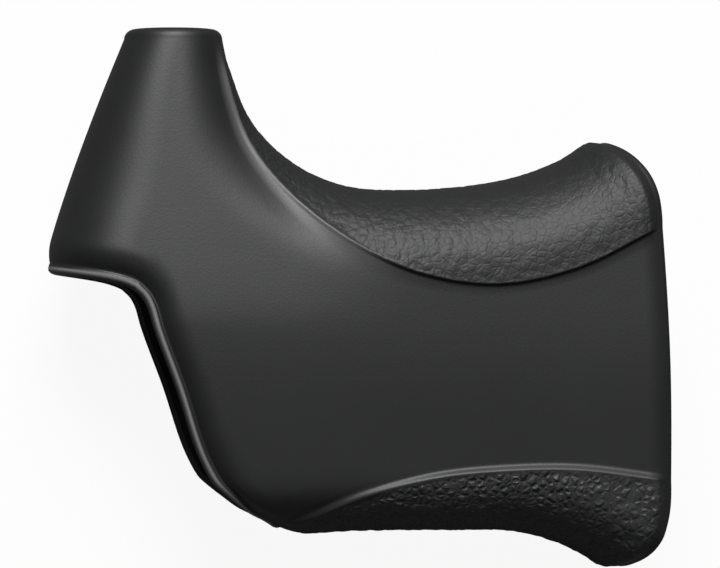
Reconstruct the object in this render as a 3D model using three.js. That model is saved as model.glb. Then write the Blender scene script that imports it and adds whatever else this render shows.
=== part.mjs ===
// Brake lever hood: the moulded rubber sleeve that covers the body of a drop-bar brake lever.
//
// It is one thin shell with two openings. The rear one sits against the handlebar and the front one
// lets the lever blade out. Between them the top dips into a saddle for the hand and rises into a
// closed horn. Two grip zones, over the saddle and under the body, stand proud of the smooth sides.
//
// The outline is drawn in the X-Y plane half way across the hood: X runs from the horn to the
// handlebar, Y up the horn, Z across. The finished hood lies on its side on Z = 0.

import * as THREE from "three";

// The rubber, in millimetres.
const wall = 2;
const gripRaise = 0.7;
const upperGripStep = 0.45;
const lowerGripStep = 1.1;
const rimRound = 0.75;

// The grips sink back into the skin towards the edges of the openings and the top of the horn.
const rearFadeLength = 1.6;
const frontFadeLength = 6;
const hornFadeLength = 7;

// Half widths across the hood. The sides are crowned, flare at the handlebar and narrow up the horn.
const bodyHalfWidth = 15.6;
const rearFlare = 0.5;
const rearFlareLength = 25;
const sideCrown = 2;
const crownHeight = -12;
const crownReach = 22;
const hornTaper = 6;
const hornTaperStart = -6;
const hornTaperRear = 10;
const hornTaperRun = 24;

// Roundings where the two sides meet along the mid-plane.
const saddleRound = 13;
const bellyRound = 9;
const noseRound = 12;
const hornTopRound = 7.4;
const hornRoundStart = 12;
const sectionPower = 2.2;
const capRound = 1.5;

// The edges of both openings turn inwards over a narrow band, most of all on the sides.
const rearCurl = 0.7;
const rearCurlBand = 3;
const frontCurl = 2.2;
const frontCurlBand = 4.4;
const middleCurlShare = 0.35;

// The outline: heights above the mid height of the body, and lengths from the middle of the saddle
// back to the handlebar edge and forward to the nose of the horn.
const hornTop = 39.15;
const shoulder = hornTop - capRound;
const saddle = 14;
const belly = -37.6;
const rearEdge = 45.5;
const hornNose = -48.9;
const lipHeight = 2.6;
const barTop = 22.5;
const barBottom = -44.5;

// Corners of the front opening: where its side edge meets the belly and where it meets the lip.
const bellyCorner = [-14.8, belly + 0.1];
const lipCorner = [hornNose + 13.3, lipHeight - 2.5];

// Guide curves, each from the rear of the hood to its front. The top line runs along the saddle and
// up the back of the horn.
const topLine = smoothCurve([
  [rearEdge - 8.1, barTop], [rearEdge - 13.8, saddle + 4.7], [rearEdge - 22.7, saddle + 1.6],
  [9.6, saddle], [-1.4, saddle + 0.6], [-10.4, saddle + 4.3],
  [hornNose + 31.8, 24.7], [hornNose + 28.3, shoulder - 4.6], [hornNose + 27.4, shoulder],
]);
const bellyLine = smoothCurve([
  [rearEdge - 5.9, barBottom], [rearEdge - 12.1, belly - 3.1], [rearEdge - 21, belly - 0.3],
  [15, belly], [0, belly], [-13.2, belly - 0.7],
]);
const frontLine = smoothCurve([
  [hornNose, lipHeight], [hornNose + 1.3, lipHeight + 5], [hornNose + 4.3, lipHeight + 14.3],
  [hornNose + 8.6, lipHeight + 25.9], [hornNose + 12.3, shoulder],
]);
const upperGripLine = smoothCurve([
  [rearEdge - 1.3, 8.8], [rearEdge - 14.3, 2.5], [19, 0.1], [6.8, 1.9], [-3, 6.4], [-12.6, 14],
  [hornNose + 30.8, 21.2], [hornNose + 27.9, shoulder - 8.7], [hornNose + 26.3, shoulder],
]);
const lowerGripLine = smoothCurve([
  [rearEdge, -30.2], [rearEdge - 14.3, -28.4], [20, -28.5], [9.5, -29.5], [-1.8, -32.2],
  [-8.8, -35.2], bellyCorner,
]);
const openingLine = smoothCurve([
  bellyCorner, [-18.3, -35.7], [-22.5, -31.4], [-25.5, -26.2], [-29, -15.7],
  [hornNose + 16.7, -6.9], [hornNose + 15.6, -3], [hornNose + 14.7, -1.3], lipCorner,
]);
const hornSideLine = smoothCurve([
  lipCorner, [hornNose + 11.5, 8], [hornNose + 13.7, 24], [hornNose + 16.9, shoulder],
]);

// Shares of the two upper curves at which the rows through the corners of the front opening start.
const topCorners = [0.48, 0.76];
const gripCorners = [0.5, 0.775];

// The rear edge and the lip are bowed rows. Each bow is the middle handle of a quadratic curve.
const rearBows = [[rearEdge - 1.1, 17.1], [rearEdge, -10], [rearEdge + 0.7, -40.2]];
const lipBow = [hornNose + 10.4, lipHeight - 0.7];
const bowFade = 0.5;

// Rows along the three stretches of the hood (body, front opening, horn) and columns across its
// three strips (upper grip, smooth side, lower grip or nose).
const rowCounts = [18, 16, 12];
const columnCounts = [8, 10, 8];
const capRings = 3;

function smoothCurve(points) {
  const corners = points.map(([x, y]) => new THREE.Vector3(x, y, 0));
  return new THREE.CatmullRomCurve3(corners, false, "centripetal");
}

function clamp01(value) {
  return Math.min(1, Math.max(0, value));
}

function ease(value) {
  const t = clamp01(value);
  return t * t * (3 - 2 * t);
}

function along(curve, share) {
  return curve.getPointAt(clamp01(share));
}

// The distance from a point to the nearest place on a chain of points.
function distanceTo(chain, point) {
  let nearest = Infinity;
  const edge = new THREE.Vector3();
  const offset = new THREE.Vector3();
  for (let k = 1; k < chain.length; k++) {
    edge.subVectors(chain[k], chain[k - 1]);
    offset.subVectors(point, chain[k - 1]);
    const share = clamp01(offset.dot(edge) / Math.max(edge.lengthSq(), 1e-9));
    nearest = Math.min(nearest, offset.addScaledVector(edge, -share).length());
  }
  return nearest;
}

// A guide curve as a chain of points, run on straight past both ends.
function chainOf(curve) {
  const points = curve.getSpacedPoints(300);
  const runOn = 20;
  const before = along(curve, 0).addScaledVector(curve.getTangentAt(0), -runOn);
  const after = along(curve, 1).addScaledVector(curve.getTangentAt(1), runOn);
  return [before, ...points, after];
}

const topChain = chainOf(topLine);
const bellyChain = chainOf(bellyLine);
const frontChain = chainOf(frontLine);

// Half the width of the hood before its roundings: a slight crown on the sides, a flare at the
// handlebar and a taper up the horn.
function fullHalfWidth(x, y) {
  const bend = ((y - crownHeight) / crownReach) ** 2;
  const crown = (sideCrown * bend) / (1 + bend);
  const flare = rearFlare * clamp01((x - rearEdge + rearFlareLength) / rearFlareLength) ** 2;
  const climb = clamp01((y - hornTaperStart) / (hornTop - hornTaperStart)) ** 1.3;
  const taper = hornTaper * climb * ease((hornTaperRear - x) / hornTaperRun);
  return bodyHalfWidth - crown + flare - taper;
}

// The share of the full half width reached at a depth in from the mid-plane outline.
function rounding(depth, radius) {
  const t = clamp01(1 - depth / radius);
  return (1 - t ** sectionPower) ** (1 / sectionPower);
}

function halfWidth(point) {
  const climb = ease((point.y - hornRoundStart) / (hornTop - hornRoundStart));
  const backRound = THREE.MathUtils.lerp(saddleRound, hornTopRound, climb);
  const frontRound = THREE.MathUtils.lerp(noseRound, hornTopRound, climb);
  return (
    fullHalfWidth(point.x, point.y) *
    rounding(distanceTo(topChain, point), backRound) *
    rounding(distanceTo(bellyChain, point), bellyRound) *
    rounding(distanceTo(frontChain, point), frontRound)
  );
}

// The four guide points of a row: top, edge of the upper grip, edge of the lower grip (or of the
// opening, or the side of the horn), and belly (or nose).
function guidePoints(stretch, share) {
  const topShare = THREE.MathUtils.lerp([0, ...topCorners][stretch], [...topCorners, 1][stretch], share);
  const gripShare = THREE.MathUtils.lerp([0, ...gripCorners][stretch], [...gripCorners, 1][stretch], share);
  const side = along([lowerGripLine, openingLine, hornSideLine][stretch], share);
  const end = stretch === 1 ? side.clone() : along(stretch === 0 ? bellyLine : frontLine, share);
  return [along(topLine, topShare), along(upperGripLine, gripShare), side, end];
}

// How far a row bulges from straight in one strip.
function bowOf(stretch, share, strip, start, end) {
  const middle = start.clone().lerp(end, 0.5);
  const fade = (1 - clamp01(share / bowFade)) ** 2;
  if (stretch === 0) {
    return new THREE.Vector3(...rearBows[strip], 0).sub(middle).multiplyScalar(fade);
  }
  if (stretch === 2 && strip === 2) {
    return new THREE.Vector3(...lipBow, 0).sub(middle).multiplyScalar(fade);
  }
  return new THREE.Vector3();
}

// The place of a column within its strip. Columns crowd towards the mid-plane, and one lies just
// beyond the edge of each grip, at the foot of the step.
function placeInStrip(strip, k, count, length) {
  const t = k / count;
  if (strip === 0) {
    return 1 - Math.cos((t * Math.PI) / 2);
  }
  if (strip === 2) {
    return Math.sin((t * Math.PI) / 2);
  }
  if (k === 0 || k === count) {
    return t;
  }
  const first = upperGripStep / length;
  const last = 1 - lowerGripStep / length;
  return THREE.MathUtils.lerp(first, last, (k - 1) / (count - 2));
}

function rowOf(stretch, share) {
  const guides = guidePoints(stretch, share);
  const row = [guides[0]];
  columnCounts.forEach((count, strip) => {
    const start = guides[strip];
    const end = guides[strip + 1];
    const bow = bowOf(stretch, share, strip, start, end);
    const length = Math.max(start.distanceTo(end), 3);
    for (let k = 1; k <= count; k++) {
      const u = placeInStrip(strip, k, count, length);
      row.push(start.clone().lerp(end, u).addScaledVector(bow, 2 * u * (1 - u)));
    }
  });
  row.forEach((point, j) => {
    const onMiddle = j === 0 || (j === row.length - 1 && stretch !== 1);
    point.z = onMiddle ? 0 : halfWidth(point);
  });
  row.forEach((point) => (point.stretch = stretch));
  return row;
}

// Shares from 0 to 1 that lie closer together near 0, near 1 or at both ends.
function spread(count, pull) {
  const twoPi = 2 * Math.PI;
  return Array.from({ length: count + 1 }, (_, k) => k / count - (pull * Math.sin((twoPi * k) / count)) / twoPi);
}

function makeRows() {
  const rows = [];
  rowCounts.forEach((count, stretch) => {
    const shares = spread(count, 0.45);
    const own = stretch === 1 ? shares.slice(1, -1) : shares;
    own.forEach((share) => rows.push(rowOf(stretch, share)));
  });
  const rim = rows.at(-1);
  for (let ring = 1; ring <= capRings; ring++) {
    const turn = ((ring / capRings) * Math.PI) / 2;
    rows.push(capRow(rim, shoulder + capRound * Math.sin(turn), capRound * (1 - Math.cos(turn))));
  }
  return rows;
}

// The outline of the horn at its shoulder, raised to a height and drawn inwards.
function capRow(rim, height, inset) {
  return rim.map((point, j) => {
    const before = rim[Math.max(j - 1, 0)];
    const after = rim[Math.min(j + 1, rim.length - 1)];
    const outward = new THREE.Vector2(before.z - after.z, after.x - before.x).normalize().multiplyScalar(-1);
    if (j === 0) {
      outward.set(1, 0);
    }
    if (j === rim.length - 1) {
      outward.set(-1, 0);
    }
    const moved = point.clone();
    moved.set(point.x - outward.x * inset, height, Math.max(0, point.z - outward.y * inset));
    moved.stretch = 2;
    return moved;
  });
}

const rows = makeRows();
const openingColumn = columnCounts[0] + columnCounts[1];
const lastColumn = openingColumn + columnCounts[2];
const bellyRow = rowCounts[0];
const lipRow = bellyRow + rowCounts[1];

// All points of the skin, near side and far side, with those on the mid-plane shared.
const points = [];
const indexOf = new Map();

function pointIndex(side, i, j) {
  const source = rows[i][j];
  const name = `${source.z === 0 ? 0 : side},${i},${j}`;
  if (!indexOf.has(name)) {
    indexOf.set(name, points.length);
    const point = new THREE.Vector3(source.x, source.y, source.z * side);
    point.row = i;
    point.column = j;
    points.push(point);
  }
  return indexOf.get(name);
}

function makeSkin() {
  const quads = [];
  for (const side of [1, -1]) {
    for (let i = 0; i < rows.length - 1; i++) {
      const open = i >= bellyRow && i < lipRow;
      for (let j = 0; j < (open ? openingColumn : lastColumn); j++) {
        const quad = [[i, j], [i + 1, j], [i + 1, j + 1], [i, j + 1]].map(([r, c]) => pointIndex(side, r, c));
        quads.push(side > 0 ? quad : quad.reverse());
      }
    }
  }
  const top = rows.length - 1;
  for (let j = 0; j < lastColumn; j++) {
    const near = [pointIndex(1, top, j), pointIndex(1, top, j + 1)];
    const far = [pointIndex(-1, top, j), pointIndex(-1, top, j + 1)];
    quads.push([near[0], far[0], far[1], near[1]]);
  }
  return quads.map((quad) => quad.filter((id, k) => id !== quad[(k + 1) % quad.length]));
}

const skin = makeSkin();

// The outward direction at every point of the skin, from the faces around it.
function faceNormal(face) {
  const normal = new THREE.Vector3();
  face.forEach((id, k) => {
    normal.add(points[id].clone().cross(points[face[(k + 1) % face.length]]));
  });
  return normal;
}

const normals = points.map(() => new THREE.Vector3());
skin.forEach((face) => {
  const normal = faceNormal(face);
  face.forEach((id) => normals[id].add(normal));
});
normals.forEach((normal, id) => {
  normal.normalize();
  if (points[id].row === rows.length - 1) {
    normal.set(0, 1, 0);
  }
});

// The open edges of the skin, each with the direction that leads out over the edge.
function openEdges() {
  const edges = new Map();
  skin.forEach((face) => {
    face.forEach((id, k) => {
      const next = face[(k + 1) % face.length];
      if (!edges.delete(`${next},${id}`)) {
        edges.set(`${id},${next}`, [id, next]);
      }
    });
  });
  return [...edges.values()];
}

const rimEdges = openEdges();
const outOfRim = points.map(() => new THREE.Vector3());
rimEdges.forEach(([start, end]) => {
  const edge = points[end].clone().sub(points[start]).normalize();
  [start, end].forEach((id) => outOfRim[id].add(edge.clone().cross(normals[id])));
});
outOfRim.forEach((direction) => direction.normalize());

const rearRim = rimEdges.filter(([start]) => points[start].row === 0);
const frontRim = rimEdges.filter(([start]) => points[start].row !== 0);

function distanceToRim(rim, point) {
  return Math.min(...rim.map(([start, end]) => distanceTo([points[start], points[end]], point)));
}

// How far the outer face stands from the skin: the curled edges draw it in, the grips raise it.
function isGrip(point) {
  const { row, column } = point;
  if (column <= columnCounts[0]) {
    return true;
  }
  return row < bellyRow && column >= openingColumn;
}

function curlAt(point, normal) {
  const rear = clamp01(1 - distanceToRim(rearRim, point) / rearCurlBand);
  const front = clamp01(1 - distanceToRim(frontRim, point) / frontCurlBand);
  const facing = THREE.MathUtils.lerp(middleCurlShare, 1, Math.abs(normal.z));
  return rearCurl * rear ** 2 + frontCurl * facing * front ** 2;
}

function raiseAt(point) {
  if (!isGrip(point)) {
    return 0;
  }
  const rearFade = ease(distanceToRim(rearRim, point) / rearFadeLength);
  const frontFade = ease(distanceToRim(frontRim, point) / frontFadeLength);
  const hornFade = ease((shoulder - point.y) / hornFadeLength);
  return gripRaise * rearFade * frontFade * hornFade;
}

const curls = points.map((point, id) => curlAt(point, normals[id]));
const outer = points.map((point, id) => point.clone().addScaledVector(normals[id], raiseAt(point) - curls[id]));
const inner = points.map((point, id) => point.clone().addScaledVector(normals[id], -wall - curls[id]));

// Inside the horn the top is flat, and its rings draw in a little at a time from the last row.
const hornRow = rows.length - 1 - capRings;
const ringGap = 0.25;
points.forEach((point, id) => {
  inner[id].y = Math.min(inner[id].y, hornTop - wall);
  if (point.row > hornRow) {
    const below = inner[pointIndex(point.z < 0 ? -1 : 1, hornRow, point.column)];
    const draw = 1 - ((point.row - hornRow) * ringGap) / hornTopRound;
    const middle = (topLine.getPointAt(1).x + frontLine.getPointAt(1).x) / 2;
    inner[id].set(THREE.MathUtils.lerp(middle, below.x, draw), hornTop - wall, below.z * draw);
  }
});
const rimMiddle = points.map((point, id) => {
  return outer[id].clone().lerp(inner[id], 0.5).addScaledVector(outOfRim[id], rimRound);
});

// Triangles of the closed shell: the outer face, the inner face turned round, and the rim between.
const triangles = [];

function addFace(corners) {
  if (corners.length === 3) {
    triangles.push(...corners);
    return;
  }
  const [a, b, c, d] = corners;
  if (a.distanceToSquared(c) <= b.distanceToSquared(d)) {
    triangles.push(a, b, c, a, c, d);
  } else {
    triangles.push(a, b, d, b, c, d);
  }
}

skin.forEach((face) => {
  addFace(face.map((id) => outer[id]));
  addFace(face.map((id) => inner[id]).reverse());
});
rimEdges.forEach(([start, end]) => {
  addFace([outer[start], rimMiddle[start], rimMiddle[end], outer[end]]);
  addFace([rimMiddle[start], inner[start], inner[end], rimMiddle[end]]);
});

// The hood lies on its side: its lowest face comes down to Z = 0, and the middle of its outline
// seen from above is at X = Y = 0.
function layOnSide(corners) {
  const box = new THREE.Box3().setFromPoints(corners);
  const middle = box.getCenter(new THREE.Vector3());
  corners.forEach((corner) => corner.sub(new THREE.Vector3(middle.x, middle.y, box.min.z)));
}

layOnSide([...outer, ...inner, ...rimMiddle]);

const geometry = new THREE.BufferGeometry().setFromPoints(triangles);
geometry.computeVertexNormals();

const rubber = new THREE.MeshStandardMaterial({ color: "#26282a", roughness: 0.62, metalness: 0 });
const hood = new THREE.Mesh(geometry, rubber);
hood.name = "hood_sleeve";

const part = new THREE.Group();
part.name = "brake_lever_hood";
part.add(hood);

export default part;
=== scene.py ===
# Brake lever hood lying on its side on a pale table, seen from above.
# The sleeve is one rubber skin, built row by row from the rear edge to the top of the horn. It is the
# CAD solid's surface again, fine enough to carry the moulded grain. The hood is drawn in millimetres;
# the table, the lamps and the camera are in metres.

import math
import bpy
import numpy as np
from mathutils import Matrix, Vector, noise


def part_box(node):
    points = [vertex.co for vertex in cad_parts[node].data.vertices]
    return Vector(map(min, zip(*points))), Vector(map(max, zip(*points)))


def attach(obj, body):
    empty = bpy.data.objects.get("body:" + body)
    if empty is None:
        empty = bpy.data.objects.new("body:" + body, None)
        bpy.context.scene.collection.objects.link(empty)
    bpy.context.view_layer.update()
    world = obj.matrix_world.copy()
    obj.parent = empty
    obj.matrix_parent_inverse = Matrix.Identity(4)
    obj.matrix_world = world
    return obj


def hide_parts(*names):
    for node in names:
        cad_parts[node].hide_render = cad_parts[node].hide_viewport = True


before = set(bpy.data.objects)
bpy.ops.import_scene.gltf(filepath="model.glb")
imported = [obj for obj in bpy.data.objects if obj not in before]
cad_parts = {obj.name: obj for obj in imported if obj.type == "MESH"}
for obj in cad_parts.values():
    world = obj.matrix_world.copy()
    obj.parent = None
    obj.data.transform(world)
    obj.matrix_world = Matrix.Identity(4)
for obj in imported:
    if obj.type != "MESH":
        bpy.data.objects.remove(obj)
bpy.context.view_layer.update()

# the hood, as its maker would size it
hood = {
    "wall": 2.0,
    "rimRound": 0.75,
    "rimRings": 6,
    "rows": (128, 84, 52),          # body, front opening, horn
    "columns": (46, 32, 48),        # upper grip, smooth side, lower grip or nose
    "shortestStrip": 3.2,
    "capRings": 6,
    "ringGap": 0.125,               # how far each ring inside the horn's top draws in
    # half widths
    "bodyHalfWidth": 15.6,
    "rearFlare": 0.5,
    "rearFlareLength": 25.0,
    "sideCrown": 2.0,
    "crownHeight": -12.0,
    "crownReach": 22.0,
    "hornTaper": 6.0,
    "hornTaperStart": -6.0,
    "hornTaperPower": 1.3,
    "hornTaperRear": 10.0,
    "hornTaperRun": 24.0,
    # roundings along the mid-plane
    "saddleRound": 13.0,
    "bellyRound": 9.0,
    "noseRound": 12.0,
    "hornTopRound": 7.4,
    "hornRoundStart": 12.0,
    "sectionPower": 2.2,
    "capRound": 1.5,
    # edges of the openings
    "rearCurl": 0.7,
    "rearCurlBand": 3.0,
    "frontCurl": 2.2,
    "frontCurlBand": 4.4,
    "middleCurlShare": 0.35,
    "bead": 0.4,                    # the small roll along the front edge, and the furrow beside it
    "beadWidth": 0.66,
    "furrow": 0.45,
    "furrowStart": 0.25,
    "furrowRamp": 0.5,
    "furrowWidth": 2.6,
    # outline
    "hornTop": 39.15,
    "rearEdge": 45.5,
}
shoulder = hood["hornTop"] - hood["capRound"]

# the two raised grips
grip = {
    "raise": 0.7,
    "upperStep": 0.5,
    "lowerStep": 1.1,
    "rearFade": 1.6,
    "frontFade": 6.0,
    "hornFade": 7.0,
    "hornRaise": 0.3,               # beside the horn the saddle grip lies lower, behind a ridge
    "hornFrom": -6.0,
    "hornRun": 12.0,
    "ridge": 0.4,
    "ridgeWidth": 0.75,
    "ridgeOffset": 0.25,
}

# grain of the saddle grip: flat plates with creases between them
leather = {
    "cell": 1.7,
    "depth": 0.12,
    "swirl": 0.5,
    "swirlSize": 1.9,
    "crease": 0.38,
    "mottle": 0.15,
    "mottleSize": 0.9,
    "wrinkle": 0.05,
    "wrinkleSize": 3.1,
    "start": -0.35,                 # distance inside the grip's line where the grain starts
    "ramp": 0.7,
}

# grain of the lower grip: round pebbles
pebbles = {
    "cell": 1.5,
    "depth": 0.3,
    "swirl": 0.45,
    "swirlSize": 1.6,
    "radius": 0.72,
    "level": 0.75,
    "height": 0.65,
    "heightChange": 0.35,
    "heightSize": 1.9,
    "start": 0.1,
    "ramp": 0.5,
    "fade": 0.45,                   # their bump weakens towards the handlebar, and their paler colour fades there as painted shade
    "fadeFrom": 24.0,
    "fadeRun": 14.0,
}
leastGrain = 0.01
# without a seed noise_vector takes its offsets from the clock, and the grain changes with every run
grainSeed = 1
noise.seed_set(grainSeed)

rubber = {
    "colour": (0.0095, 0.0098, 0.0100),
    "wornColour": (0.014, 0.0145, 0.0148),
    "pebbleColour": (0.026, 0.0265, 0.0268),
    "specular": 0.5,
    "roughness": 0.5,
    "grainRoughness": 0.56,
    # a painted highlight: pale colour along the front edge, on its rim and on the ridge's crest
    "highlightColour": (0.27, 0.27, 0.267),
    "highlightRoughness": 0.36,
    "highlightWidth": 0.3,
    "highlightCrest": 0.3,
    "highlightRim": 0.25,
    # textures per metre, with their detail, and bumps in metres
    "cloud": (55, 4),
    "fine": (2600, 3),
    "fineStrength": 0.35,
    "fineBump": 0.00004,
    "ripple": (700, 2),
    "rippleReach": 0.0005,
    "creaseScale": 900,
    "creaseWidth": 0.2,
    "creaseStrength": 0.7,
    "creaseBump": 0.00004,
    "pebbleScale": 850,
    "pebbleDome": (0.02, 0.46),
    "pebbleBump": 0.00032,
}

table = {
    "size": 3.0,
    "colour": (0.8, 0.8, 0.8),
    "unseenColour": (0.12, 0.12, 0.12),
    "roughness": 0.9,
    "whiteness": 0.92,
    "glow": 1.0,
}

# studio lamps: place in metres, size in metres, power in watts
lamps = {
    "overhead": {"place": (-0.1, 1.15, 1.15), "size": (0.8, 0.65), "power": 36.5},
    "low": {"place": (0, -0.75, 1.35), "size": (0.5, 0.5), "power": 1.1},
}
lampTarget = (0, 0, 0.016)
backdrop = {"colour": (1, 1, 1, 1), "strength": 0.06}

# the camera stands a little to the horn's side, so the far edge of the front opening shows
view = {
    "distance": 0.65,
    "turn": math.radians(7.5),
    "sensor": 36,
    "frameWidth": 720 * 0.155 / 1000,       # 720 pixels of 0.155 mm
}


def clamp(value, low=0.0, high=1.0):
    return np.minimum(high, np.maximum(low, value))


def ease(value):
    t = clamp(value)
    return t * t * (3 - 2 * t)


def smoothCurve(points, samples=900, stepsPerSpan=60):
    # centripetal Catmull-Rom through the points, resampled to even spacing
    pts = np.array(points, float)
    ends = np.vstack([2 * pts[0] - pts[1], pts, 2 * pts[-1] - pts[-2]])
    path = []
    steps = np.linspace(0, 1, stepsPerSpan, endpoint=False)[:, None]
    for k in range(len(pts) - 1):
        p0, p1, p2, p3 = ends[k:k + 4]
        d0, d1, d2 = (math.sqrt(np.linalg.norm(b - a)) for a, b in ((p0, p1), (p1, p2), (p2, p3)))
        t1 = ((p1 - p0) / d0 - (p2 - p0) / (d0 + d1) + (p2 - p1) / d1) * d1
        t2 = ((p2 - p1) / d1 - (p3 - p1) / (d1 + d2) + (p3 - p2) / d2) * d1
        path.append(p1 + t1 * steps + (3 * (p2 - p1) - 2 * t1 - t2) * steps ** 2
                    + (2 * (p1 - p2) + t1 + t2) * steps ** 3)
    path = np.vstack(path + [pts[-1:]])
    length = np.concatenate([[0], np.cumsum(np.linalg.norm(np.diff(path, axis=0), axis=1))])
    even = np.linspace(0, length[-1], samples)
    return np.column_stack([np.interp(even, length, path[:, k]) for k in range(2)])


def along(curve, share):
    at = clamp(np.asarray(share, float)) * (len(curve) - 1)
    return np.column_stack([np.interp(at, np.arange(len(curve)), curve[:, k]) for k in range(2)])


# guide curves in the mid-plane; the front opening runs from the belly corner to under the lip
bellyCorner = (-14.8, -37.5)
lipCorner = (-35.6, 0.1)
topLine = smoothCurve([(37.4, 22.5), (31.7, 18.7), (22.8, 15.6), (9.6, 14), (-1.4, 14.6), (-10.4, 18.3),
                       (-17.1, 24.7), (-20.6, shoulder - 4.6), (-21.5, shoulder)])
bellyLine = smoothCurve([(39.6, -44.5), (33.4, -40.7), (24.5, -37.9), (15, -37.6), (0, -37.6),
                         (-13.2, -38.3)])
frontLine = smoothCurve([(-48.9, 2.6), (-47.6, 7.6), (-44.6, 16.9), (-40.3, 28.5), (-36.6, shoulder)])
upperGripLine = smoothCurve([(44.2, 8.8), (31.2, 2.5), (19, 0.1), (6.8, 1.9), (-3, 6.4), (-12.6, 14),
                             (-18.1, 21.2), (-21, shoulder - 8.7), (-22.6, shoulder)])
lowerGripLine = smoothCurve([(45.5, -30.2), (31.2, -28.4), (20, -28.5), (9.5, -29.5), (-1.8, -32.2),
                             (-8.8, -35.2), bellyCorner])
openingLine = smoothCurve([bellyCorner, (-18.3, -35.7), (-22.5, -31.4), (-25.5, -26.2), (-29, -15.7),
                           (-32.2, -6.9), (-33.3, -3), (-34.2, -1.3), lipCorner])
hornSideLine = smoothCurve([lipCorner, (-37.4, 8), (-35.2, 24), (-32, shoulder)])

# where the body, the opening and the horn begin along the top line and the upper grip's line
topStations = (0, 0.48, 0.76, 1)
gripStations = (0, 0.5, 0.775, 1)
# the first rows of the body and of the horn's nose bow towards these points
rearBows = np.array([(44.4, 17.1), (45.5, -10), (46.2, -40.2)])
lipBow = np.array((-38.5, 1.9))
bowFade = 0.5
# distances of the columns nearest to a grip's line, so that its step stays sharp
aboveUpperLine = (0.98, 0.62, 0.34, 0.14)
belowUpperLine = (0.12, 0.26, 0.42, 0.6)
aboveLowerLine = (2.6, 2.1, 1.65, 1.25, 0.95, 0.72, 0.52, 0.34, 0.16, 0.0)


def runOn(curve, length=20, every=5):
    # the curve as a chain of points, carried on straight at both ends
    first = curve[0] + (curve[0] - curve[1]) / np.linalg.norm(curve[0] - curve[1]) * length
    last = curve[-1] + (curve[-1] - curve[-2]) / np.linalg.norm(curve[-1] - curve[-2]) * length
    return np.vstack([first, curve[::every], curve[-1:], last])


def distanceToEdges(starts, ends, points):
    # shortest distance from each point to a set of edges, in two or three dimensions
    best = np.full(len(points), 1e9)
    for a, b in zip(starts, ends):
        edge = b - a
        offset = points - a
        share = clamp(offset @ edge / max(edge @ edge, 1e-12))
        gap = offset - share[:, None] * edge
        best = np.minimum(best, np.einsum("ij,ij->i", gap, gap))
    return np.sqrt(best)


topChain, bellyChain, frontChain = runOn(topLine), runOn(bellyLine), runOn(frontLine)


def fullHalfWidth(x, y):
    bend = ((y - hood["crownHeight"]) / hood["crownReach"]) ** 2
    crown = hood["sideCrown"] * bend / (1 + bend)
    run = hood["rearFlareLength"]
    flare = hood["rearFlare"] * clamp((x - hood["rearEdge"] + run) / run) ** 2
    base = hood["hornTaperStart"]
    climb = clamp((y - base) / (hood["hornTop"] - base)) ** hood["hornTaperPower"]
    taper = hood["hornTaper"] * climb * ease((hood["hornTaperRear"] - x) / hood["hornTaperRun"])
    return hood["bodyHalfWidth"] - crown + flare - taper


def rounding(chain, points, radius):
    # 0 on the outline, rising to 1 at the radius
    t = clamp(1 - distanceToEdges(chain[:-1], chain[1:], points) / radius)
    power = hood["sectionPower"]
    return (1 - t ** power) ** (1 / power)


def halfWidth(points):
    x, y = points[:, 0], points[:, 1]
    start = hood["hornRoundStart"]
    climb = ease((y - start) / (hood["hornTop"] - start))
    back = hood["saddleRound"] + (hood["hornTopRound"] - hood["saddleRound"]) * climb
    front = hood["noseRound"] + (hood["hornTopRound"] - hood["noseRound"]) * climb
    return (fullHalfWidth(x, y) * rounding(topChain, points, back)
            * rounding(bellyChain, points, hood["bellyRound"]) * rounding(frontChain, points, front))


def spread(count, pull=0.45):
    k = np.arange(count + 1) / count
    return k - pull * np.sin(2 * np.pi * k) / (2 * np.pi)


def stripPlaces(strip, lengths):
    # places of the columns in a strip as shares of its length, one row for each length
    count = hood["columns"][strip]
    t = np.arange(1, count + 1) / count
    if strip == 0:
        u = np.tile(1 - np.cos(t * np.pi / 2), (len(lengths), 1))
        near = len(aboveUpperLine)
        for k, gap in enumerate(aboveUpperLine[1:]):
            u[:, k - near] = 1 - gap / lengths
        unscaled = 1 - math.cos(t[-near - 1] * math.pi / 2)
        u[:, :-near] *= ((1 - aboveUpperLine[0] / lengths) / unscaled)[:, None]
        return u
    if strip == 2:
        return np.tile(np.sin(t * np.pi / 2), (len(lengths), 1))
    middle = count - len(belowUpperLine) - len(aboveLowerLine)
    rows = []
    for length in lengths:
        between = np.linspace(belowUpperLine[-1], length - aboveLowerLine[0], middle + 2)[1:-1]
        rows.append(np.concatenate([belowUpperLine, between, length - np.array(aboveLowerLine)]) / length)
    return np.array(rows)


def makeRows(stretch, shares):
    # rows of the body (0), the front opening (1) or the horn (2), at shares of the stretch's length
    shares = np.asarray(shares, float)

    def section(curve, stations):
        first, last = stations[stretch], stations[stretch + 1]
        return along(curve, first + (last - first) * shares)

    side = along((lowerGripLine, openingLine, hornSideLine)[stretch], shares)
    end = side if stretch == 1 else along(bellyLine if stretch == 0 else frontLine, shares)
    guides = [section(topLine, topStations), section(upperGripLine, gripStations), side, end]
    fade = (1 - clamp(shares / bowFade)) ** 2
    columns = [guides[0][:, None, :]]
    for strip in range(3):
        start, stop = guides[strip], guides[strip + 1]
        middle = (start + stop) / 2
        bow = np.zeros_like(middle)
        if stretch == 0:
            bow = (rearBows[strip] - middle) * fade[:, None]
        if stretch == 2 and strip == 2:
            bow = (lipBow - middle) * fade[:, None]
        lengths = np.maximum(np.linalg.norm(stop - start, axis=1), hood["shortestStrip"])
        u = stripPlaces(strip, lengths)[:, :, None]
        columns.append(start[:, None] * (1 - u) + stop[:, None] * u + bow[:, None] * 2 * u * (1 - u))
    plan = np.concatenate(columns, axis=1)
    n, m = plan.shape[:2]
    z = halfWidth(plan.reshape(-1, 2)).reshape(n, m)
    z[:, 0] = 0
    if stretch != 1:
        z[:, -1] = 0
    return np.dstack([plan, z])


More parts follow.
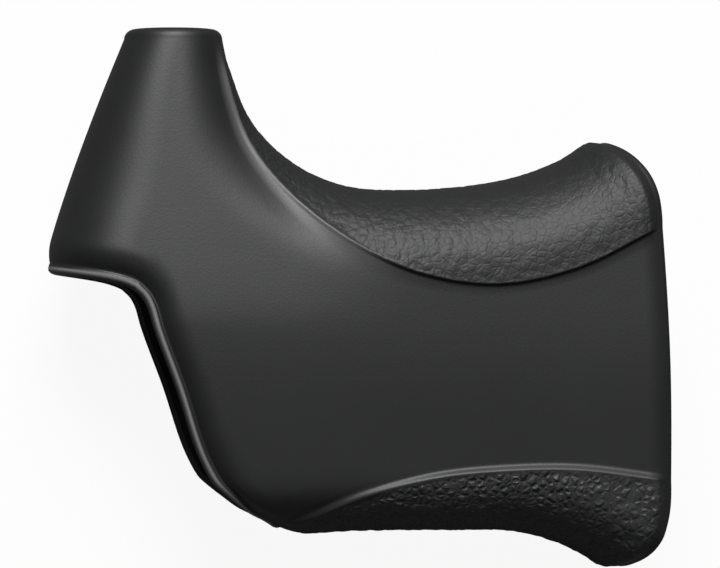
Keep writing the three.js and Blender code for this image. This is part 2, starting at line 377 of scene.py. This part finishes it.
def capRow(rim, height, inset):
    before = np.vstack([rim[:1], rim[:-1]])
    after = np.vstack([rim[1:], rim[-1:]])
    outward = np.column_stack([after[:, 2] - before[:, 2], before[:, 0] - after[:, 0]])
    outward /= np.maximum(np.linalg.norm(outward, axis=1), 1e-9)[:, None]
    outward[0] = (1, 0)
    outward[-1] = (-1, 0)
    row = rim.copy()
    row[:, 0] -= outward[:, 0] * inset
    row[:, 1] = height
    row[:, 2] = np.maximum(0, row[:, 2] - outward[:, 1] * inset)
    return row


def makeGrid():
    counts = hood["rows"]
    body = makeRows(0, spread(counts[0]))
    opening = makeRows(1, spread(counts[1])[1:-1])
    horn = makeRows(2, spread(counts[2]))
    cap = []
    for ring in range(1, hood["capRings"] + 1):
        turn = ring / hood["capRings"] * math.pi / 2
        height = shoulder + hood["capRound"] * math.sin(turn)
        cap.append(capRow(horn[-1], height, hood["capRound"] * (1 - math.cos(turn))))
    return np.concatenate([body, opening, horn, np.array(cap)])


grid = makeGrid()
rowTotal, columnTotal = grid.shape[:2]
bellyRow = hood["rows"][0]
lipRow = bellyRow + hood["rows"][1]
gripColumn = hood["columns"][0]
openingColumn = gripColumn + hood["columns"][1]
lastColumn = columnTotal - 1
print("grid", grid.shape)

# one entry for each point of the skin, the mid-plane shared by both sides
index = {}
points, rowOf, columnOf = [], [], []
for i in range(rowTotal):
    stop = openingColumn if bellyRow < i < lipRow else lastColumn
    for j in range(stop + 1):
        x, y, z = grid[i, j]
        for side in (1, -1):
            if z == 0 and side < 0:
                index[side, i, j] = index[1, i, j]
                continue
            index[side, i, j] = len(points)
            points.append((x, y, z * side))
            rowOf.append(i)
            columnOf.append(j)
points = np.array(points)
rowOf = np.array(rowOf)
columnOf = np.array(columnOf)


def skinFaces(step):
    faces = []
    for side in (1, -1):
        for i in range(0, rowTotal - 1, step):
            stop = openingColumn if bellyRow <= i < lipRow else lastColumn
            for j in range(0, stop, step):
                quad = [index[side, i, j], index[side, i + step, j],
                        index[side, i + step, j + step], index[side, i, j + step]]
                faces.append(quad if side > 0 else quad[::-1])
    top = rowTotal - 1
    for j in range(0, lastColumn, step):
        quad = [index[1, top, j], index[-1, top, j], index[-1, top, j + step], index[1, top, j + step]]
        faces.append([p for k, p in enumerate(quad) if p != quad[k - 1]])
    return faces


def openEdges(faces):
    edges = {}
    for face in faces:
        for k, start in enumerate(face):
            end = face[(k + 1) % len(face)]
            if edges.pop((end, start), None) is None:
                edges[start, end] = True
    return list(edges)


fineFaces = skinFaces(1)
coarseFaces = skinFaces(2)
rimEdges = openEdges(fineFaces)
coarseRimEdges = openEdges(coarseFaces)

# outward directions from the faces around each point, and directions out of the open rims
quads = np.array([f if len(f) == 4 else f + f[-1:] for f in fineFaces])
across = np.cross(points[quads[:, 2]] - points[quads[:, 0]], points[quads[:, 3]] - points[quads[:, 1]])
normals = np.zeros_like(points)
for k in range(4):
    np.add.at(normals, quads[:, k], across)
normals /= np.maximum(np.linalg.norm(normals, axis=1), 1e-12)[:, None]
normals[rowOf == rowTotal - 1] = (0, 1, 0)
outOfRim = np.zeros_like(points)
for start, end in rimEdges:
    edge = points[end] - points[start]
    edge /= np.linalg.norm(edge)
    outOfRim[start] += np.cross(edge, normals[start])
    outOfRim[end] += np.cross(edge, normals[end])
outOfRim /= np.maximum(np.linalg.norm(outOfRim, axis=1), 1e-12)[:, None]


def distanceToRim(edges):
    starts, ends = zip(*edges)
    return distanceToEdges(points[list(starts)], points[list(ends)], points)


# the edges curl in, and the front one carries a small roll with a furrow beside it
fromRear = distanceToRim([edge for edge in coarseRimEdges if rowOf[edge[0]] == 0])
fromFront = distanceToRim([edge for edge in coarseRimEdges if rowOf[edge[0]] != 0])
facing = hood["middleCurlShare"] + (1 - hood["middleCurlShare"]) * np.abs(normals[:, 2])
curl = (hood["rearCurl"] * clamp(1 - fromRear / hood["rearCurlBand"]) ** 2
        + hood["frontCurl"] * facing * clamp(1 - fromFront / hood["frontCurlBand"]) ** 2)
roll = 1 - clamp(fromFront / hood["beadWidth"]) ** 2
furrowEnd = hood["furrowStart"] + hood["furrowRamp"]
furrow = (clamp((fromFront - hood["furrowStart"]) / hood["furrowRamp"])
          * clamp(1 - (fromFront - furrowEnd) / hood["furrowWidth"]) ** 2)
bead = facing * (hood["bead"] * roll ** 2 - hood["furrow"] * furrow)

# how much of each grip's raise a point gets, from its distance to the grip's line seen from the side
plan = grid[rowOf, columnOf, :2]
fromUpper = np.linalg.norm(plan - grid[rowOf, gripColumn, :2], axis=1)
fromLower = np.linalg.norm(plan - grid[rowOf, openingColumn, :2], axis=1)
isUpper = columnOf <= gripColumn
isLower = (rowOf <= bellyRow) & (columnOf >= openingColumn)
upperShare = np.where(isUpper, 1.0, 1 - ease(fromUpper / grip["upperStep"]))
lowerShare = np.where(rowOf <= bellyRow, 1 - ease(fromLower / grip["lowerStep"]), 0.0)
lowerShare[isLower] = 1
upperShare[isLower] = 0
lowerShare[isUpper] = 0
fade = (ease(fromRear / grip["rearFade"]) * ease(fromFront / grip["frontFade"])
        * ease((shoulder - points[:, 1]) / grip["hornFade"]))
upperShare *= fade
lowerShare *= fade


def swirled(point, grain):
    # the point in cells of the grain, pushed about so that the cells come out uneven
    push = noise.noise_vector(point / (grain["cell"] * grain["swirlSize"])) * grain["cell"] * grain["swirl"]
    return (point + push) / grain["cell"]


def leatherHeight(point):
    # 1 on a plate, falling to 0 in the creases
    far = noise.voronoi(swirled(point, leather))[0]
    edge = min(1.0, (far[1] - far[0]) / leather["crease"])
    mottle = noise.noise(point / (leather["cell"] * leather["mottleSize"]))
    return edge * (2 - edge) + leather["mottle"] * mottle


def pebbleHeight(point):
    far = noise.voronoi(swirled(point, pebbles))[0]
    change = noise.noise(point / (pebbles["cell"] * pebbles["heightSize"]))
    return (max(0.0, 1 - (far[0] / pebbles["radius"]) ** 2)
            * (pebbles["height"] + pebbles["heightChange"] * change))


relief = np.zeros(len(points))
upperInside = upperShare * clamp((np.where(isUpper, fromUpper, -1) - leather["start"]) / leather["ramp"])
lowerInside = lowerShare * clamp((np.where(isLower, fromLower, -1) - pebbles["start"]) / pebbles["ramp"])
for k in np.nonzero((upperInside > leastGrain) | (lowerInside > leastGrain))[0]:
    where = Vector(points[k])
    if upperInside[k] > leastGrain:
        wrinkle = noise.noise(where / leather["wrinkleSize"]) * leather["wrinkle"]
        relief[k] = upperInside[k] * ((leatherHeight(where) - 1) * leather["depth"] + wrinkle)
    else:
        relief[k] = lowerInside[k] * (pebbleHeight(where) - pebbles["level"]) * pebbles["depth"]

# beside the horn a ridge runs along the foot of the saddle grip
byHorn = 1 - ease((points[:, 0] - grip["hornFrom"]) / grip["hornRun"])
fromRidge = np.abs(np.where(isUpper, -fromUpper, fromUpper) - grip["ridgeOffset"])
crest = byHorn * fade * (1 - clamp(fromRidge / grip["ridgeWidth"]) ** 2) ** 2
upperRaise = (grip["raise"] - (grip["raise"] - grip["hornRaise"]) * byHorn) * upperShare
raised = np.maximum(upperRaise, grip["raise"] * lowerShare) + grip["ridge"] * crest

outer = points + normals * (raised + relief - curl + bead)[:, None]
inner = points - normals * (hood["wall"] + curl)[:, None]

# inside the horn the top is flat, and its rings draw in a little at a time
hornRow = rowTotal - 1 - hood["capRings"]
insideTop = hood["hornTop"] - hood["wall"]
inner[:, 1] = np.minimum(inner[:, 1], insideTop)
centre = (topLine[-1, 0] + frontLine[-1, 0]) / 2
for k in np.nonzero(rowOf > hornRow)[0]:
    below = inner[index[-1 if points[k, 2] < 0 else 1, hornRow, columnOf[k]]]
    draw = 1 - (rowOf[k] - hornRow) * hood["ringGap"] / hood["hornTopRound"]
    inner[k] = (centre + (below[0] - centre) * draw, insideTop, below[2] * draw)
print("skin", len(outer), "points")

# the closed mesh: outer skin, rolled rims, and an inner skin with every second row and column
vertices = [outer]
faces = [list(face) for face in fineFaces]
rimPoints = sorted({p for edge in rimEdges for p in edge})
middle = (outer[rimPoints] + inner[rimPoints]) / 2
reach = outer[rimPoints] - middle
rings = [{p: p for p in rimPoints}]
total = len(outer)
for ring in range(1, hood["rimRings"]):
    turn = ring / hood["rimRings"] * math.pi
    vertices.append(middle + reach * math.cos(turn) + outOfRim[rimPoints] * hood["rimRound"] * math.sin(turn))
    rings.append({p: total + k for k, p in enumerate(rimPoints)})
    total += len(rimPoints)
for start, end in rimEdges:
    for a, b in zip(rings[:-1], rings[1:]):
        faces.append([a[start], b[start], b[end], a[end]])
innerPoints = sorted({p for face in coarseFaces for p in face})
innerPlace = {p: total + k for k, p in enumerate(innerPoints)}
vertices.append(inner[innerPoints])
faces += [[innerPlace[p] for p in face][::-1] for face in coarseFaces]
lastRing = rings[-1]
for start, end in coarseRimEdges:
    i = (rowOf[start] + rowOf[end]) // 2
    j = (columnOf[start] + columnOf[end]) // 2
    half = index[-1 if min(points[start, 2], points[end, 2]) < 0 else 1, i, j]
    faces.append([lastRing[start], innerPlace[start], lastRing[half]])
    faces.append([innerPlace[start], innerPlace[end], lastRing[half]])
    faces.append([lastRing[half], innerPlace[end], lastRing[end]])
vertices = np.vstack(vertices)

# into the CAD's frame: the box middle at X = Y = 0, the lowest face on Z = 0, metres
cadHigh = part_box("hood_sleeve")[1]
shift = np.array([cadHigh[0] * 1000 - vertices[:, 0].max(), cadHigh[1] * 1000 - hood["hornTop"],
                  cadHigh[2] * 500])
vertices[:, 2] *= cadHigh[2] * 500 / np.abs(vertices[:, 2]).max()
vertices = (vertices + shift) / 1000

mesh = bpy.data.meshes.new("hoodSkin")
mesh.from_pydata(vertices.tolist(), [], faces)
mesh.validate()
mesh.shade_smooth()

# where each grain lies, and where a highlight is painted along the front edge and the ridge's crest, for the
# shader
# the pebbles' paler colour fades towards the handlebar, painted shade on the lower rear corner; their bump
# weakens there too
pebbleFadeAndShade = pebbles["fade"] * ease((points[:, 0] - pebbles["fadeFrom"]) / pebbles["fadeRun"])
pebblesAndShade = lowerInside * (1 - pebbleFadeAndShade)
# painted highlight: pale colour on the front edge, on the first ring of its rim and on the ridge's crest
paintedHighlight = np.maximum(clamp(1 - fromFront / rubber["highlightWidth"]), rubber["highlightCrest"] * crest)
paintedHighlight = np.concatenate([paintedHighlight, rubber["highlightRim"] * (rowOf[rimPoints] > 0)])
for name, share in (("upperGrain", upperInside), ("lowerGrainAndShade", pebblesAndShade), ("paintedHighlight", paintedHighlight)):
    values = np.zeros(len(mesh.vertices), np.float32)
    values[:len(share)] = share
    layer = mesh.attributes.new(name, "FLOAT", "POINT")
    layer.data.foreach_set("value", values)
skin = bpy.data.objects.new("hoodSkin", mesh)
bpy.context.collection.objects.link(skin)
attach(skin, "root")
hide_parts("hood_sleeve")
print("mesh", len(mesh.vertices), "vertices", sum(len(f) - 2 for f in faces), "triangles")


def opaque(colour):
    return (*colour, 1)


def feed(tree, node, values):
    # each input takes a plain value or the output of another node
    for name, value in values.items():
        if isinstance(value, bpy.types.NodeSocket):
            tree.links.new(value, node.inputs[name])
        else:
            node.inputs[name].default_value = value


def calculate(tree, operation, first, second):
    node = tree.nodes.new("ShaderNodeMath")
    node.operation = operation
    feed(tree, node, {0: first, 1: second})
    return node.outputs["Value"]


def mix(tree, factor, first, second, kind="RGBA"):
    node = tree.nodes.new("ShaderNodeMix")
    node.data_type = kind
    feed(tree, node, {"Factor": factor, "A": first, "B": second})
    return node.outputs["Result"]


def remap(tree, value, limits, interpolation="LINEAR"):
    node = tree.nodes.new("ShaderNodeMapRange")
    node.interpolation_type = interpolation
    feed(tree, node, {"Value": value, **limits})
    return node.outputs["Result"]


def cloudTexture(tree, place, texture):
    node = tree.nodes.new("ShaderNodeTexNoise")
    feed(tree, node, {"Vector": place, "Scale": texture[0], "Detail": texture[1]})
    return node


def cellTexture(tree, place, scale):
    # distance to the nearest edge between cells
    node = tree.nodes.new("ShaderNodeTexVoronoi")
    node.feature = "DISTANCE_TO_EDGE"
    feed(tree, node, {"Vector": place, "Scale": scale})
    return node.outputs["Distance"]


def bumped(tree, values):
    node = tree.nodes.new("ShaderNodeBump")
    feed(tree, node, values)
    return node.outputs["Normal"]


def attribute(tree, name):
    node = tree.nodes.new("ShaderNodeAttribute")
    node.attribute_name = name
    return node.outputs["Fac"]


def makeRubber():
    material = bpy.data.materials.new("mouldedRubber")
    material.use_nodes = True
    tree = material.node_tree
    place = tree.nodes.new("ShaderNodeTexCoord").outputs["Object"]
    upper, lower, highlightShare = (attribute(tree, name) for name in ("upperGrain", "lowerGrainAndShade", "paintedHighlight"))

    # soft clouding as on handled rubber, paler pebbles that fade towards the handlebar as painted shade, and
    # a painted highlight along the front edge and the ridge's crest
    cloud = cloudTexture(tree, place, rubber["cloud"]).outputs["Fac"]
    colour = mix(tree, cloud, opaque(rubber["colour"]), opaque(rubber["wornColour"]))
    colour = mix(tree, lower, colour, opaque(rubber["pebbleColour"]))
    # painted highlight along the front edge and the ridge's crest
    colour = mix(tree, highlightShare, colour, opaque(rubber["highlightColour"]))
    grained = calculate(tree, "MAXIMUM", upper, lower)
    rough = remap(tree, grained, {"To Min": rubber["roughness"], "To Max": rubber["grainRoughness"]})
    rough = mix(tree, highlightShare, rough, rubber["highlightRoughness"], "FLOAT")

    # the cells of both grips are bent a little by a ripple
    bend = tree.nodes.new("ShaderNodeVectorMath")
    bend.operation = "SCALE"
    ripple = cloudTexture(tree, place, rubber["ripple"]).outputs["Color"]
    feed(tree, bend, {0: ripple, "Scale": rubber["rippleReach"]})
    shifted = tree.nodes.new("ShaderNodeVectorMath")
    shifted.operation = "ADD"
    feed(tree, shifted, {0: bend.outputs["Vector"], 1: place})
    bent = shifted.outputs["Vector"]

    # the mould's fine texture all over, fine creases above, and pebbles with deep gaps below
    crease = remap(tree, cellTexture(tree, bent, rubber["creaseScale"]), {"From Max": rubber["creaseWidth"]})
    foot, top = rubber["pebbleDome"]
    dome = remap(tree, cellTexture(tree, bent, rubber["pebbleScale"]),
                 {"From Min": foot, "From Max": top}, "SMOOTHSTEP")
    normal = bumped(tree, {"Height": cloudTexture(tree, place, rubber["fine"]).outputs["Fac"],
                           "Strength": rubber["fineStrength"], "Distance": rubber["fineBump"]})
    normal = bumped(tree, {"Height": crease, "Normal": normal, "Distance": rubber["creaseBump"],
                           "Strength": calculate(tree, "MULTIPLY", upper, rubber["creaseStrength"])})
    normal = bumped(tree, {"Height": dome, "Normal": normal, "Distance": rubber["pebbleBump"],
                           "Strength": lower})
    feed(tree, tree.nodes["Principled BSDF"], {"Base Color": colour, "Roughness": rough, "Normal": normal,
                                               "Specular IOR Level": rubber["specular"]})
    return material


mesh.materials.append(makeRubber())
print("rubber done")


def makePaleTop():
    # nearly white to the camera, and grey to the light that falls back on the hood
    material = bpy.data.materials.new("paleTable")
    material.use_nodes = True
    tree = material.node_tree
    shader = tree.nodes["Principled BSDF"]
    byCamera = tree.nodes.new("ShaderNodeLightPath").outputs["Is Camera Ray"]
    tone = mix(tree, byCamera, opaque(table["unseenColour"]), opaque(table["colour"]))
    feed(tree, shader, {"Base Color": tone, "Roughness": table["roughness"]})
    glow = tree.nodes.new("ShaderNodeEmission")
    feed(tree, glow, {"Strength": table["glow"]})
    blend = tree.nodes.new("ShaderNodeMixShader")
    feed(tree, blend, {"Fac": calculate(tree, "MULTIPLY", byCamera, table["whiteness"]),
                       1: shader.outputs["BSDF"], 2: glow.outputs["Emission"]})
    feed(tree, tree.nodes["Material Output"], {"Surface": blend.outputs["Shader"]})
    return material


def makeTable():
    half = table["size"] / 2
    plane = bpy.data.meshes.new("tableTop")
    corners = [(-half, -half, 0), (half, -half, 0), (half, half, 0), (-half, half, 0)]
    plane.from_pydata(corners, [], [(0, 1, 2, 3)])
    plane.materials.append(makePaleTop())
    top = bpy.data.objects.new("tableTop", plane)
    bpy.context.collection.objects.link(top)


makeTable()
print("table done")


def makeLamp(name, lamp):
    data = bpy.data.lights.new(name, "AREA")
    data.shape = "RECTANGLE"
    data.size, data.size_y = lamp["size"]
    data.energy = lamp["power"]
    light = bpy.data.objects.new(name, data)
    light.location = lamp["place"]
    bpy.context.collection.objects.link(light)
    direction = Vector(lampTarget) - light.location
    light.rotation_euler = direction.to_track_quat("-Z", "Y").to_euler()


for name, lamp in lamps.items():
    makeLamp(name, lamp)

world = bpy.data.worlds.new("studio")
world.use_nodes = True
feed(world.node_tree, world.node_tree.nodes["Background"],
     {"Color": backdrop["colour"], "Strength": backdrop["strength"]})
bpy.context.scene.world = world
print("lamps", len(lamps))


def makeCamera():
    data = bpy.data.cameras.new("camera")
    data.sensor_width = view["sensor"]
    data.lens = view["sensor"] * view["distance"] / view["frameWidth"]
    camera = bpy.data.objects.new("camera", data)
    turn = view["turn"]
    towards = Vector((-math.sin(turn), 0, math.cos(turn)))
    camera.location = Vector(shift) / 1000 + towards * view["distance"]
    camera.rotation_euler = (0, -turn, 0)
    bpy.context.collection.objects.link(camera)
    bpy.context.scene.camera = camera


makeCamera()
bpy.context.scene.view_settings.view_transform = "Standard"
print("camera done")
